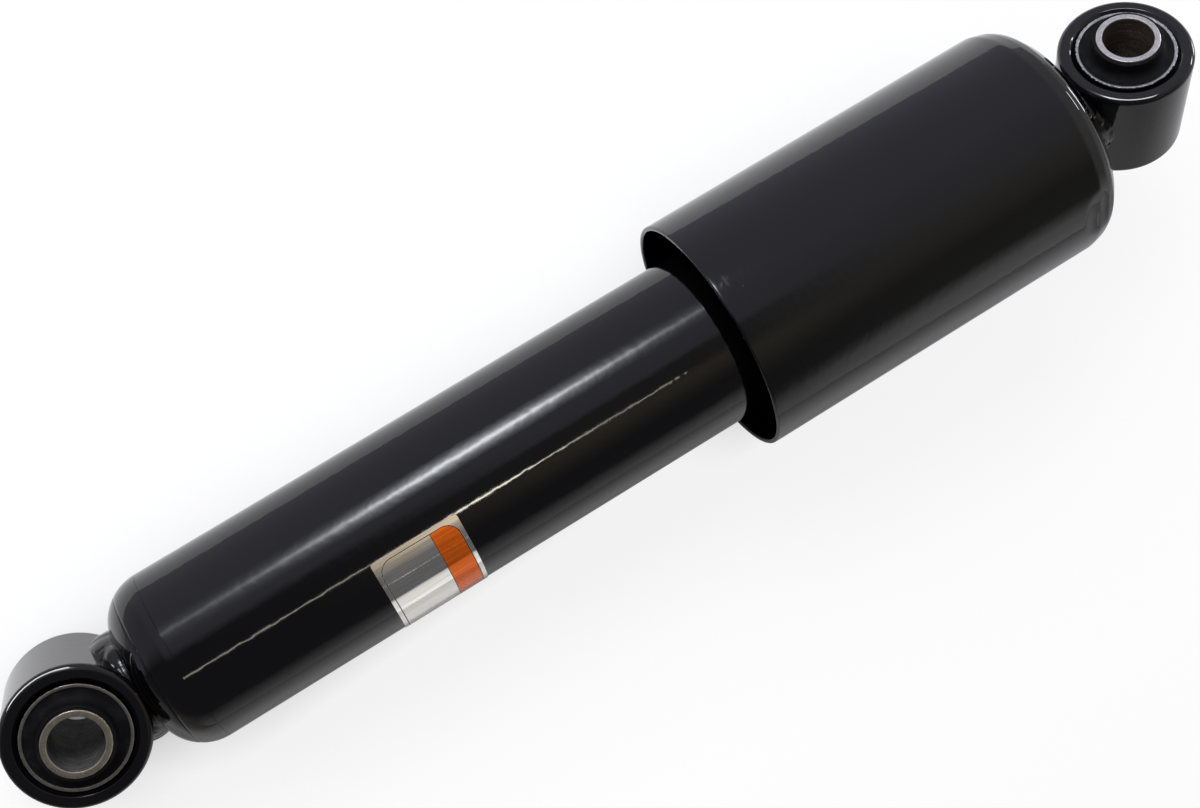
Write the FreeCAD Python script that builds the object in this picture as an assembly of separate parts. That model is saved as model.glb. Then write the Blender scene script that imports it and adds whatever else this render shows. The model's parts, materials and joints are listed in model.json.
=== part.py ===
"""Gas shock absorber: a single-tube damper with a dust cover and a rubber-bushed eye at each end.

Millimetres. The origin is the centre of the lower eye, +X runs along the rod to the upper eye and
+Z along the lower eye's bore. The damper is drawn pulled right out, as its gas holds it.
"""
import FreeCAD
import Part
import math
import os

# Driving dimensions: the two eyes and their bushes
bolt_bore_diameter = 12.7
inner_sleeve_wall = 1.6
inner_sleeve_length = 38.0
inner_sleeve_chamfer = 0.3
rubber_wall = 3.7
rubber_face_recess = 0.4
rubber_lip_below_sleeve_end = 0.4
rubber_collar_wall = 0.8
rubber_flare_radius = 2.0
outer_sleeve_wall = 1.0
outer_sleeve_proud = 0.1
eye_wall = 4.3
eye_length = 28.8
eye_edge_radius = 1.5
eye_mouth_chamfer_depth = 1.0
eye_mouth_chamfer_width = 1.3
eye_twist_degrees = 45.0
weld_inset_from_eye_face = 1.4
weld_bead_radius = 1.7
upper_neck_length = 6.7

# Driving dimensions: tube, base cap and label
body_diameter = 44.0
tube_wall = 2.0
tube_mouth_chamfer = 0.5
base_corner_radius = 12.0
base_wall = 4.0
eye_seat_depth = 1.0
label_offset_from_tube_end = 47.5
label_length = 23.0
label_thickness = 0.2
label_start_degrees = -3.0
label_wrap_degrees = 150.0

# Driving dimensions: travel, rod and piston
stroke = 75.0
gas_chamber_length = 23.0
floating_piston_length = 14.0
floating_piston_recess_diameter = 28.0
floating_piston_recess_depth = 6.0
floating_piston_chamfer = 1.0
piston_end_gap = 2.1242
rod_diameter = 12.5
spigot_diameter = 10.0
spigot_end_length = 1.0
spigot_chamfer = 0.8
piston_length = 14.0
piston_land_gap = 0.6
band_length = 8.0
band_depth = 1.2
band_split_width = 1.0
port_diameter = 3.6
port_count = 6
port_rim = 1.6
port_spigot_land = 4.2
shim_thickness = 0.4
shim_count = 4
shim_seat = 1.0
stop_washer_diameter = 16.8
stop_washer_thickness = 2.0
nut_across_flats = 16.0
nut_sides = 6
nut_height = 8.0
nut_chamfer = 1.0
collar_diameter = 21.0
collar_length = 3.5
collar_chamfer = 0.6
collar_above_shoulder = 2.2
cushion_diameter = 26.0
cushion_tip_diameter = 20.0
cushion_length = 9.0
bump_stop_diameter = 30.0
bump_stop_tip_diameter = 24.0
bump_stop_length = 9.7

# Driving dimensions: rod guide, seals and dust cover
guide_length = 16.0
guide_chamfer = 0.8
guide_bush_wall = 1.0
guide_bush_length = 8.0
seal_diameter = 22.0
seal_length = 6.5
seal_lip_length = 1.2
seal_relief = 0.9
backing_washer_thickness = 1.5
backing_washer_rod_gap = 0.45
o_ring_section = 2.1
o_ring_groove_length = 3.2
guide_o_ring_from_inner_face = 6.6
retaining_ring_thickness = 2.0
retaining_ring_groove_depth = 1.1
retaining_ring_depth = 4.0
retaining_ring_split_width = 6.0
wiper_spigot_length = 3.0
wiper_flange_thickness = 1.5
wiper_lip_length = 1.0
wiper_relief = 1.5
cover_clearance = 7.95
cover_wall = 1.2
cover_overlap = 17.0
cover_corner_radius = 8.0
cover_cap_wall = 1.6
cover_cap_skirt = 0.5

# Clearances between pieces that move against each other
rod_running_gap = 0.04
band_running_gap = 0.05
floating_running_gap = 0.05
sleeve_running_gap = 0.05
o_ring_free_gap = 0.03
end_stop_gap = 0.3
bump_gap = 0.5

# Radii of the eyes, from the bolt outwards
bolt_bore_radius = bolt_bore_diameter / 2
inner_sleeve_radius = bolt_bore_radius + inner_sleeve_wall
rubber_inner_radius = inner_sleeve_radius + sleeve_running_gap
rubber_outer_radius = rubber_inner_radius + rubber_wall
outer_sleeve_radius = rubber_outer_radius + outer_sleeve_wall
eye_radius = outer_sleeve_radius + eye_wall
eye_half = eye_length / 2
weld_neck_radius = eye_half - weld_inset_from_eye_face

# Radii of the tube, rod and cover
body_radius = body_diameter / 2
bore_radius = body_radius - tube_wall
rod_radius = rod_diameter / 2
spigot_radius = spigot_diameter / 2
cover_inner_radius = body_radius + cover_clearance
cover_radius = cover_inner_radius + cover_wall
cover_cap_inner_radius = cover_radius - cover_cap_wall
piston_radius = bore_radius - piston_land_gap
band_outer_radius = bore_radius - band_running_gap
band_groove_radius = piston_radius - band_depth
port_radius = port_diameter / 2
outer_port_circle = piston_radius - port_rim - port_radius
inner_port_circle = spigot_radius + port_spigot_land + port_radius
shim_stack_height = shim_thickness * shim_count

# Places along the rod, from the lower eye upwards, at full extension
base_end = eye_radius - eye_seat_depth
tube_start = base_end + base_corner_radius
base_inner_face = base_end + base_wall
floating_bottom = base_inner_face + gas_chamber_length
floating_top = floating_bottom + floating_piston_length
floating_travel = stroke * (rod_radius / bore_radius) ** 2
rod_end = floating_top - floating_travel + stroke + piston_end_gap
nut_bottom = rod_end + spigot_end_length
lower_washer_bottom = nut_bottom + nut_height
rebound_shims_bottom = lower_washer_bottom + stop_washer_thickness
piston_bottom = rebound_shims_bottom + shim_stack_height
piston_top = piston_bottom + piston_length
upper_washer_bottom = piston_top + shim_stack_height
rod_shoulder = upper_washer_bottom + stop_washer_thickness
collar_bottom = rod_shoulder + collar_above_shoulder
cushion_bottom = collar_bottom + collar_length
cushion_top = cushion_bottom + cushion_length
guide_bottom = cushion_top + end_stop_gap
guide_top = guide_bottom + guide_length
ring_top = guide_top + retaining_ring_thickness
tube_top = ring_top + wiper_spigot_length
wiper_top = tube_top + wiper_flange_thickness
bump_stop_bottom = wiper_top + stroke + bump_gap
cover_cap_inner_face = bump_stop_bottom + bump_stop_length
cover_end = cover_cap_inner_face + cover_cap_wall
cover_corner_start = cover_end - cover_corner_radius
cover_seam = cover_corner_start - cover_cap_skirt
cover_mouth = tube_top - cover_overlap
eye_spacing = cover_end + upper_neck_length + eye_radius

ORIGIN = FreeCAD.Vector(0, 0, 0)
X_AXIS = FreeCAD.Vector(1, 0, 0)
Y_AXIS = FreeCAD.Vector(0, 1, 0)
FULL_TURN = 360.0
QUARTER_TURN = 90.0
CLOSED_WITHIN = 1e-6


def point(along, radius):
    """A point of a turned outline: its place along the axis and its distance from the axis."""
    return FreeCAD.Vector(along, radius, 0)


def outline(start, *steps):
    """A closed face from a start point and steps; a step of two points is an arc through the first."""
    edges = []
    here = start
    for step in steps:
        if isinstance(step, tuple):
            middle, there = step
            edges.append(Part.Arc(here, middle, there).toShape())
        else:
            there = step
            edges.append(Part.LineSegment(here, there).toShape())
        here = there
    if not here.isEqual(start, CLOSED_WITHIN):
        edges.append(Part.LineSegment(here, start).toShape())
    return Part.Face(Part.Wire(edges))


def corner(centre, radius, from_degrees, to_degrees):
    """The middle and end points of an arc about a centre, for one step of an outline."""
    middle_degrees = (from_degrees + to_degrees) / 2
    ends = []
    for degrees in (middle_degrees, to_degrees):
        turn = math.radians(degrees)
        ends.append(centre + FreeCAD.Vector(radius * math.cos(turn), radius * math.sin(turn), 0))
    return tuple(ends)


def turned(face):
    """A face of the axis plane turned once round the rod's axis."""
    return face.revolve(ORIGIN, X_AXIS, FULL_TURN)


def ring(bottom, top, inner_radius, outer_radius):
    """A plain ring round the rod's axis."""
    return turned(outline(
        point(bottom, inner_radius),
        point(top, inner_radius),
        point(top, outer_radius),
        point(bottom, outer_radius),
    ))


def rod_cylinder(bottom, top, radius):
    """A plain round bar on the rod's axis."""
    return Part.makeCylinder(radius, top - bottom, point(bottom, 0), X_AXIS)


def o_ring(middle, outer_radius):
    """A round rubber ring whose section just misses its groove and its bore."""
    section_radius = o_ring_section / 2 - o_ring_free_gap
    centre_radius = outer_radius - o_ring_section / 2
    return Part.makeTorus(centre_radius, section_radius, point(middle, 0), X_AXIS)


def split(shape, width, bottom, top, outer_radius):
    """A ring cut open by one straight slot, as a spring ring or a piston band is."""
    corner_point = FreeCAD.Vector(bottom, -width / 2, 0)
    return shape.cut(Part.makeBox(top - bottom, width, outer_radius * 2, corner_point))


def along_bore(shape):
    """A piece turned about the rod's axis, laid along the lower eye's bore instead."""
    shape.rotate(ORIGIN, Y_AXIS, -QUARTER_TURN)
    return shape


def at_upper_eye(shape):
    """A lower eye's piece carried to the upper eye and turned to its bore."""
    shape.rotate(ORIGIN, X_AXIS, -eye_twist_degrees)
    shape.translate(FreeCAD.Vector(eye_spacing, 0, 0))
    return shape


def eye_blank():
    """The eye's outside as a solid plug with rounded rims."""
    flat_half = eye_half - eye_edge_radius
    flat_radius = eye_radius - eye_edge_radius
    return along_bore(turned(outline(
        point(-eye_half, 0),
        point(eye_half, 0),
        point(eye_half, flat_radius),
        corner(point(flat_half, flat_radius), eye_edge_radius, 0, 90),
        point(-flat_half, eye_radius),
        corner(point(-flat_half, flat_radius), eye_edge_radius, 90, 180),
    )))


def eye_hole():
    """The eye's hole with a chamfered mouth on both faces."""
    mouth_half = eye_half - eye_mouth_chamfer_depth
    mouth_radius = outer_sleeve_radius + eye_mouth_chamfer_width
    return along_bore(turned(outline(
        point(-eye_half, 0),
        point(eye_half, 0),
        point(eye_half, mouth_radius),
        point(mouth_half, outer_sleeve_radius),
        point(-mouth_half, outer_sleeve_radius),
        point(-eye_half, mouth_radius),
    )))


def eye():
    """The steel ring that is welded to the damper."""
    return eye_blank().cut(eye_hole())


def bush_outer_sleeve():
    """The thin steel ring pressed into the eye, standing a little proud of its faces."""
    half = eye_half + outer_sleeve_proud
    return along_bore(ring(-half, half, rubber_outer_radius, outer_sleeve_radius))


def bush_rubber():
    """The bonded rubber: just below the outer ring, then flared into a collar up the inner sleeve."""
    rim_half = eye_half + outer_sleeve_proud - rubber_face_recess
    lip_half = inner_sleeve_length / 2 - rubber_lip_below_sleeve_end
    collar_radius = rubber_inner_radius + rubber_collar_wall
    flare_half = rim_half + rubber_flare_radius
    flare_foot = collar_radius + rubber_flare_radius
    return along_bore(turned(outline(
        point(-lip_half, rubber_inner_radius),
        point(lip_half, rubber_inner_radius),
        point(lip_half, collar_radius),
        point(flare_half, collar_radius),
        corner(point(flare_half, flare_foot), rubber_flare_radius, 270, 180),
        point(rim_half, rubber_outer_radius),
        point(-rim_half, rubber_outer_radius),
        point(-rim_half, flare_foot),
        corner(point(-flare_half, flare_foot), rubber_flare_radius, 0, -90),
        point(-lip_half, collar_radius),
    )))


def bush_inner_sleeve():
    """The steel tube that the bolt passes through, standing proud of the eye at both ends."""
    half = inner_sleeve_length / 2
    chamfer_half = half - inner_sleeve_chamfer
    chamfer_radius = inner_sleeve_radius - inner_sleeve_chamfer
    return along_bore(turned(outline(
        point(-half, bolt_bore_radius),
        point(half, bolt_bore_radius),
        point(half, chamfer_radius),
        point(chamfer_half, inner_sleeve_radius),
        point(-chamfer_half, inner_sleeve_radius),
        point(-half, chamfer_radius),
    )))


def cylinder_tube():
    """The damper's tube, with the retaining ring's groove inside its mouth."""
    groove_radius = bore_radius + retaining_ring_groove_depth
    return turned(outline(
        point(tube_start, bore_radius),
        point(tube_start, body_radius),
        point(tube_top - tube_mouth_chamfer, body_radius),
        point(tube_top, body_radius - tube_mouth_chamfer),
        point(tube_top, bore_radius),
        point(ring_top, bore_radius),
        point(ring_top, groove_radius),
        point(guide_top, groove_radius),
        point(guide_top, bore_radius),
    ))


def base_outside():
    """The rounded end of the body as a solid plug."""
    corner_centre = point(tube_start, body_radius - base_corner_radius)
    return turned(outline(
        point(tube_start, 0),
        point(tube_start, body_radius),
        corner(corner_centre, base_corner_radius, 90, 180),
        point(base_end, 0),
    ))


def base_inside():
    """The gas space inside the rounded end."""
    corner_radius = tube_start - base_inner_face
    corner_centre = point(tube_start, bore_radius - corner_radius)
    return turned(outline(
        point(tube_start, 0),
        point(tube_start, bore_radius),
        corner(corner_centre, corner_radius, 90, 180),
        point(base_inner_face, 0),
    ))


def base_cap():
    """The pressed end cap, hollow, with a shallow saddle where the eye is seated."""
    return base_outside().cut(base_inside()).cut(eye_blank())


def lower_weld_bead():
    """The weld that fills the neck between the lower eye and the rounded end."""
    ring_radius = weld_neck_radius + weld_bead_radius / 2
    ring_offset = ring_radius - (body_radius - base_corner_radius)
    ring_place = tube_start - math.sqrt(base_corner_radius ** 2 - ring_offset ** 2)
    neck = rod_cylinder(0, tube_start, weld_neck_radius)
    foot = Part.makeTorus(ring_radius, weld_bead_radius, point(ring_place, 0), X_AXIS)
    return neck.fuse(foot).cut(eye_blank()).cut(base_outside()).removeSplitter()


def upper_weld_bead():
    """The welded collar between the cover's end and the upper eye, round the rod."""
    neck = rod_cylinder(cover_end, eye_spacing, weld_neck_radius)
    foot = Part.makeTorus(weld_neck_radius, weld_bead_radius, point(cover_end, 0), X_AXIS)
    inside_cover = rod_cylinder(cover_seam, cover_end, cover_radius)
    whole = neck.fuse(foot).cut(inside_cover).cut(at_upper_eye(eye_blank()))
    return whole.cut(rod_cylinder(rod_end, eye_spacing, rod_radius)).removeSplitter()


def label_foil():
    """The thin foil wrapped part of the way round the tube."""
    label_start = tube_start + label_offset_from_tube_end
    label_end = label_start + label_length
    face = outline(
        point(label_start, body_radius),
        point(label_end, body_radius),
        point(label_end, body_radius + label_thickness),
        point(label_start, body_radius + label_thickness),
    )
    face.rotate(ORIGIN, X_AXIS, QUARTER_TURN + label_start_degrees)
    return face.revolve(ORIGIN, X_AXIS, label_wrap_degrees)


def floating_piston():
    """The free piston between the gas and the oil, with a ring groove and a hollow on the oil side."""
    radius = bore_radius - floating_running_gap
    chamfer_radius = radius - floating_piston_chamfer
    groove_radius = radius - o_ring_section
    middle = (floating_bottom + floating_top) / 2
    groove_bottom = middle - o_ring_groove_length / 2
    groove_top = middle + o_ring_groove_length / 2
    recess_radius = floating_piston_recess_diameter / 2
    recess_bottom = floating_top - floating_piston_recess_depth
    return turned(outline(
        point(floating_bottom, 0),
        point(floating_bottom, chamfer_radius),
        point(floating_bottom + floating_piston_chamfer, radius),
        point(groove_bottom, radius),
        point(groove_bottom, groove_radius),
        point(groove_top, groove_radius),
        point(groove_top, radius),
        point(floating_top - floating_piston_chamfer, radius),
        point(floating_top, chamfer_radius),
        point(floating_top, recess_radius),
        point(recess_bottom, recess_radius),
        point(recess_bottom, 0),
    ))


def floating_piston_o_ring():
    """The free piston's seal."""
    return o_ring((floating_bottom + floating_top) / 2, bore_radius - floating_running_gap)


def piston_rod():
    """The rod: a spigot for the piston, a shoulder, and a plain length up to the upper eye."""
    rod_top = eye_spacing - eye_radius / 2
    bar = turned(outline(
        point(rod_end, 0),
        point(rod_end, spigot_radius - spigot_chamfer),
        point(rod_end + spigot_chamfer, spigot_radius),
        point(rod_shoulder, spigot_radius),
        point(rod_shoulder, rod_radius),
        point(rod_top, rod_radius),
        point(rod_top, 0),
    ))
    return bar.cut(at_upper_eye(eye_blank()))


def slanted_port(start_circle, end_circle, degrees):
    """One oil passage through the piston, from a circle on its lower face to one on its upper face."""
    rise = end_circle - start_circle
    overshoot = port_diameter / piston_length
    bottom = point(piston_bottom - piston_length * overshoot, start_circle - rise * overshoot)
    top = point(piston_top + piston_length * overshoot, end_circle + rise * overshoot)
    port = Part.makeCylinder(port_radius, bottom.distanceToPoint(top), bottom, top - bottom)
    port.rotate(ORIGIN, X_AXIS, degrees)
    return port


def piston():
    """The damping piston: a band groove round it, and two sets of ports that slant opposite ways."""
    middle = (piston_bottom + piston_top) / 2
    groove_bottom = middle - band_length / 2
    groove_top = middle + band_length / 2
    body = turned(outline(
        point(piston_bottom, spigot_radius),
        point(piston_top, spigot_radius),
        point(piston_top, piston_radius),
        point(groove_top, piston_radius),
        point(groove_top, band_groove_radius),
        point(groove_bottom, band_groove_radius),
        point(groove_bottom, piston_radius),
        point(piston_bottom, piston_radius),
    ))
    ports = []
    port_spacing = FULL_TURN / port_count
    for number in range(port_count):
        degrees = number * port_spacing
        ports.append(slanted_port(outer_port_circle, inner_port_circle, degrees))
        ports.append(slanted_port(inner_port_circle, outer_port_circle, degrees + port_spacing / 2))
    return body.cut(ports)


def piston_band():
    """The slippery band round the piston, split so that it can be sprung on."""
    middle = (piston_bottom + piston_top) / 2
    bottom = middle - band_length / 2 + band_running_gap
    top = middle + band_length / 2 - band_running_gap
    whole = ring(bottom, top, band_groove_radius + band_running_gap, band_outer_radius)
    return split(whole, band_split_width, bottom, top, band_outer_radius)


def shim_stack(seat, direction):
    """Valve shims, the widest on the piston's face, narrowing to the stop washer's width."""
    widest = inner_port_circle + port_radius + shim_seat
    step = (widest - stop_washer_diameter / 2) / shim_count
    shims = []
    for number in range(shim_count):
        near = seat + direction * number * shim_thickness
        far = near + direction * shim_thickness
        shims.append(ring(min(near, far), max(near, far), spigot_radius, widest - number * step))
    return Part.makeCompound(shims)


def stop_washer(bottom):
    """A thick washer that backs a shim stack."""
    return ring(bottom, bottom + stop_washer_thickness, spigot_radius, stop_washer_diameter / 2)


def piston_nut():
    """The hexagon nut that clamps the piston to the rod, with its corners turned off at the free end."""
    corner_radius = nut_across_flats / 2 / math.cos(math.pi / nut_sides)
    nut_top = nut_bottom + nut_height
    corners = []
    for number in range(nut_sides + 1):
        turn = number * math.tau / nut_sides
        corners.append(FreeCAD.Vector(
            nut_bottom, corner_radius * math.cos(turn), corner_radius * math.sin(turn)))
    hexagon = Part.Face(Part.makePolygon(corners)).extrude(X_AXIS * nut_height)
    turned_blank = turned(outline(
        point(nut_bottom, spigot_radius),
        point(nut_bottom, corner_radius - nut_chamfer),
        point(nut_bottom + nut_chamfer, corner_radius),
        point(nut_top, corner_radius),
        point(nut_top, spigot_radius),
    ))
    return hexagon.common(turned_blank)


def rebound_stop_collar():
    """The collar swaged on the rod that ends the pull-out stroke."""
    radius = collar_diameter / 2
    return turned(outline(
        point(collar_bottom, rod_radius),
        point(collar_bottom, radius - collar_chamfer),
        point(collar_bottom + collar_chamfer, radius),
        point(cushion_bottom, radius),
        point(cushion_bottom, rod_radius),
    ))


def rebound_cushion():
    """The rubber ring on the collar that meets the rod guide, tapered to its tip."""
    return turned(outline(
        point(cushion_bottom, rod_radius),
        point(cushion_bottom, cushion_diameter / 2),
        point(cushion_bottom + cushion_length / 2, cushion_diameter / 2),
        point(cushion_top, cushion_tip_diameter / 2),
        point(cushion_top, rod_radius),
    ))


def bump_stop():
    """The rubber pad under the cover's end that meets the tube's end when the damper is pushed in."""
    return turned(outline(
        point(bump_stop_bottom, rod_radius),
        point(bump_stop_bottom, bump_stop_tip_diameter / 2),
        point(bump_stop_bottom + bump_stop_length / 2, bump_stop_diameter / 2),
        point(cover_cap_inner_face, bump_stop_diameter / 2),
        point(cover_cap_inner_face, rod_radius),
    ))


def rod_guide():
    """The aluminium plug that closes the tube: a bush below, a seal pocket above, a ring groove outside."""
    bush_radius = rod_radius + rod_running_gap + guide_bush_wall
    seal_bottom = guide_top - backing_washer_thickness - seal_length
    groove_middle = guide_bottom + guide_o_ring_from_inner_face
    groove_bottom = groove_middle - o_ring_groove_length / 2
    groove_top = groove_middle + o_ring_groove_length / 2
    groove_radius = bore_radius - o_ring_section
    return turned(outline(
        point(guide_bottom, bush_radius),
        point(seal_bottom, bush_radius),
        point(seal_bottom, seal_diameter / 2),
        point(guide_top, seal_diameter / 2),
        point(guide_top, bore_radius),
        point(groove_top, bore_radius),
        point(groove_top, groove_radius),
        point(groove_bottom, groove_radius),
        point(groove_bottom, bore_radius),
        point(guide_bottom + guide_chamfer, bore_radius),
        point(guide_bottom, bore_radius - guide_chamfer),
    ))


def guide_bush():
    """The plain bearing that the rod slides in."""
    inner = rod_radius + rod_running_gap
    return ring(guide_bottom, guide_bottom + guide_bush_length, inner, inner + guide_bush_wall)


def guide_o_ring():
    """The seal between the rod guide and the tube."""
    return o_ring(guide_bottom + guide_o_ring_from_inner_face, bore_radius)


def rod_seal():
    """The oil seal: two lips on the rod with a relief between them."""
    top = guide_top - backing_washer_thickness
    bottom = top - seal_length
    lip_radius = rod_radius + rod_running_gap
    middle = (bottom + top) / 2
    return turned(outline(
        point(bottom, lip_radius),
        point(bottom + seal_lip_length, lip_radius),
        (point(middle, lip_radius + seal_relief), point(top - seal_lip_length, lip_radius)),
        point(top, lip_radius),
        point(top, seal_diameter / 2),
        point(bottom, seal_diameter / 2),
    ))


def seal_backing_washer():
    """The steel washer that holds the oil seal down against the pressure."""
    inner = rod_radius + backing_washer_rod_gap
    return ring(guide_top - backing_washer_thickness, guide_top, inner, seal_diameter / 2)


def retaining_ring():
    """The spring ring in the tube's groove that keeps the guide in."""
    outer = bore_radius + retaining_ring_groove_depth
    inner = outer - retaining_ring_depth
    whole = ring(guide_top, ring_top, inner, outer)
    return split(whole, retaining_ring_split_width, guide_top, ring_top, outer)


def wiper_cap():
    """The plastic cap on the tube's mouth, with a lip that wipes the rod."""
    lip_radius = rod_radius + rod_running_gap
    relief_radius = lip_radius + wiper_relief
    return turned(outline(
        point(ring_top, relief_radius),
        point(wiper_top - wiper_lip_length, relief_radius),
        point(wiper_top - wiper_lip_length, lip_radius),
        point(wiper_top, lip_radius),
        point(wiper_top, body_radius - tube_mouth_chamfer),
        point(wiper_top - tube_mouth_chamfer, body_radius),
        point(tube_top, body_radius),
        point(tube_top, bore_radius),
        point(ring_top, bore_radius),
    ))


def cover_tube():
    """The dust cover's tube, with a rounded lip at its mouth."""
    lip_radius = cover_wall / 2
    lip_centre = point(cover_mouth + lip_radius, cover_radius - lip_radius)
    return turned(outline(
        point(cover_seam, cover_inner_radius),
        point(cover_seam, cover_radius),
        point(cover_mouth + lip_radius, cover_radius),
        corner(lip_centre, lip_radius, 90, 270),
    ))


def cover_cap():
    """The pressed end of the dust cover, with a large round corner and a short skirt to the flush seam."""
    corner_centre = point(cover_corner_start, cover_radius - cover_corner_radius)
    inner_corner_radius = cover_corner_radius - cover_cap_wall
    inner_start = point(cover_cap_inner_face, corner_centre.y)
    return turned(outline(
        point(cover_seam, cover_cap_inner_radius),
        point(cover_seam, cover_radius),
        point(cover_corner_start, cover_radius),
        corner(corner_centre, cover_corner_radius, 90, 0),
        point(cover_end, rod_radius),
        point(cover_cap_inner_face, rod_radius),
        inner_start,
        corner(corner_centre, inner_corner_radius, 0, 90),
    ))


nodes = {
    "cylinder_tube": cylinder_tube(),
    "base_cap": base_cap(),
    "lower_eye": eye(),
    "lower_weld_bead": lower_weld_bead(),
    "lower_bush_outer_sleeve": bush_outer_sleeve(),
    "lower_bush_rubber": bush_rubber(),
    "lower_bush_inner_sleeve": bush_inner_sleeve(),
    "label_foil": label_foil(),
    "floating_piston": floating_piston(),
    "floating_piston_o_ring": floating_piston_o_ring(),
    "rod_guide": rod_guide(),
    "guide_bush": guide_bush(),
    "guide_o_ring": guide_o_ring(),
    "rod_seal": rod_seal(),
    "seal_backing_washer": seal_backing_washer(),
    "retaining_ring": retaining_ring(),
    "wiper_cap": wiper_cap(),
    "piston_rod": piston_rod(),
    "piston_nut": piston_nut(),
    "lower_stop_washer": stop_washer(lower_washer_bottom),
    "rebound_shims": shim_stack(piston_bottom, -1),
    "piston": piston(),
    "piston_band": piston_band(),
    "compression_shims": shim_stack(piston_top, 1),
    "upper_stop_washer": stop_washer(upper_washer_bottom),
    "rebound_stop_collar": rebound_stop_collar(),
    "rebound_cushion": rebound_cushion(),
    "bump_stop": bump_stop(),
    "cover_tube": cover_tube(),
    "cover_cap": cover_cap(),
    "upper_weld_bead": upper_weld_bead(),
    "upper_eye": at_upper_eye(eye()),
    "upper_bush_outer_sleeve": at_upper_eye(bush_outer_sleeve()),
    "upper_bush_rubber": at_upper_eye(bush_rubber()),
    "upper_bush_inner_sleeve": at_upper_eye(bush_inner_sleeve()),
}

os.makedirs("parts", exist_ok=True)
for name, shape in nodes.items():
    shape.exportStep("parts/" + name + ".step")
    print(name, len(shape.Solids), "solid,", round(shape.Volume, 1), "mm3, valid", shape.isValid())
print("eye to eye, pulled out:", round(eye_spacing, 3))
print("tube mouth:", round(tube_top, 3), "cover mouth:", round(cover_mouth, 3), "cover end:", round(cover_end, 3))
print("floating piston travel:", round(floating_travel, 4), "rod end:", round(rod_end, 3))
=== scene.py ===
# %% [markdown]
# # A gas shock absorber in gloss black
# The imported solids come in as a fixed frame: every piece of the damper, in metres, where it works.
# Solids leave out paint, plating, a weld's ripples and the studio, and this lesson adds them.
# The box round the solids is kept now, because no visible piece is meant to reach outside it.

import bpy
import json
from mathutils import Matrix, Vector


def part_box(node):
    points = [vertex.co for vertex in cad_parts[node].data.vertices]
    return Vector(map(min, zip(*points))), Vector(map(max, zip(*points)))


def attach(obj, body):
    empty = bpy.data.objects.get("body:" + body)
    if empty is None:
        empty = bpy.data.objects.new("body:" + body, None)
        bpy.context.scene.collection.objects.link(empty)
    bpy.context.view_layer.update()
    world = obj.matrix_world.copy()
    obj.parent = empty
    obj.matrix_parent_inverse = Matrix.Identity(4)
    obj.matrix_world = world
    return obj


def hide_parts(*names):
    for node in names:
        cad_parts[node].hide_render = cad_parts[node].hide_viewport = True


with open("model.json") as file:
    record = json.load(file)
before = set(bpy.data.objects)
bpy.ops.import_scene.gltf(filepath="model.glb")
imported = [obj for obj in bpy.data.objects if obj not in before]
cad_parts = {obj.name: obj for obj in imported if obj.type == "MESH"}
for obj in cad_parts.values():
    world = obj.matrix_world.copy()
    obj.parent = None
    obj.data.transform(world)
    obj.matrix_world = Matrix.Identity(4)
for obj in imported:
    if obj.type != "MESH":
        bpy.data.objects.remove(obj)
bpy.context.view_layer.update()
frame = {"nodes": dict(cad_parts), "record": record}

# %% [markdown]
# ## The camera
# A picture's camera can be turned by eye until it looks right, or worked out from edges whose real
# sizes are known. The rims of both eyes, the sides of the tube and the cover's mouth gave these
# numbers. They are written as the camera's own three directions, so nothing has to be aimed. A matrix
# with those directions as its columns is the turn that Blender wants.

# %% Camera
import bpy
from mathutils import Matrix, Vector

scene = bpy.context.scene
scene.view_settings.view_transform = "Standard"
camera_place = Vector((0.072059, 0.112636, 0.418947))
camera_right = Vector((0.843809, -0.463653, 0.270213))
camera_up = Vector((0.511084, 0.847861, -0.141162))
camera_back = Vector((-0.163642, 0.257211, 0.952394))
camera_data = bpy.data.cameras.new("camera")
camera_data.sensor_fit = "HORIZONTAL"
camera_data.sensor_width = 36.0
camera_data.lens = 53.62
camera_data.clip_start = 0.01
camera_data.clip_end = 20.0
camera = bpy.data.objects.new("camera", camera_data)
camera_turn = Matrix((camera_right, camera_up, camera_back)).transposed()
camera.matrix_world = Matrix.Translation(camera_place) @ camera_turn.to_4x4()
scene.collection.objects.link(camera)
scene.camera = camera
print("camera", round(camera_place.length, 3), "m from the lower eye")

# %% [markdown]
# ## Sizes from the frame
# Every size of a piece that stands for a solid is read from that solid, so the two can't drift
# apart. A node's box gives its ends along the rod, and its height gives its outer radius.

# %% Sizes
mm = 0.001
tube_low, tube_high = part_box("cylinder_tube")
base_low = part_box("base_cap")[0]
cover_low, cover_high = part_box("cover_tube")
end_low, end_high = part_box("cover_cap")
eye_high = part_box("lower_eye")[1]
shell_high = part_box("lower_bush_outer_sleeve")[1]
rubber_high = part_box("lower_bush_rubber")[1]
sleeve_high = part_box("lower_bush_inner_sleeve")[1]
label_low, label_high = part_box("label_foil")
lower_mount, upper_mount = frame["record"]["mounts"]
body_radius = tube_high.z
cover_radius = cover_high.z
eye_radius = eye_high.x
eye_half = eye_high.z
bolt_radius = lower_mount["dims"]["r_mm"] * mm
eye_spacing = upper_mount["pos_m"][0]
print("tube radius", round(body_radius / mm, 2), "mm, eye to eye", round(eye_spacing / mm, 1), "mm")

# %% [markdown]
# ## Turned pieces
# Nearly all of a damper is turned on a lathe or pressed round, so one helper makes most pieces: an
# outline of places along the axis and distances from it is spun into a closed mesh. A Screw
# modifier could spin it too, but plain code gives control over the rounding. Each corner is rounded
# by a short arc, because a real edge always catches a thin line of light. A long run gets a point
# close to both ends, so the smooth shading of an arc doesn't spread along the run.

# %% Outlines with rounded corners
import math

arc_pitch = 0.3 * mm
fewest_arc_steps = 5
guard = 0.35 * mm
shortest_guarded_run = 4 * guard


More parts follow.
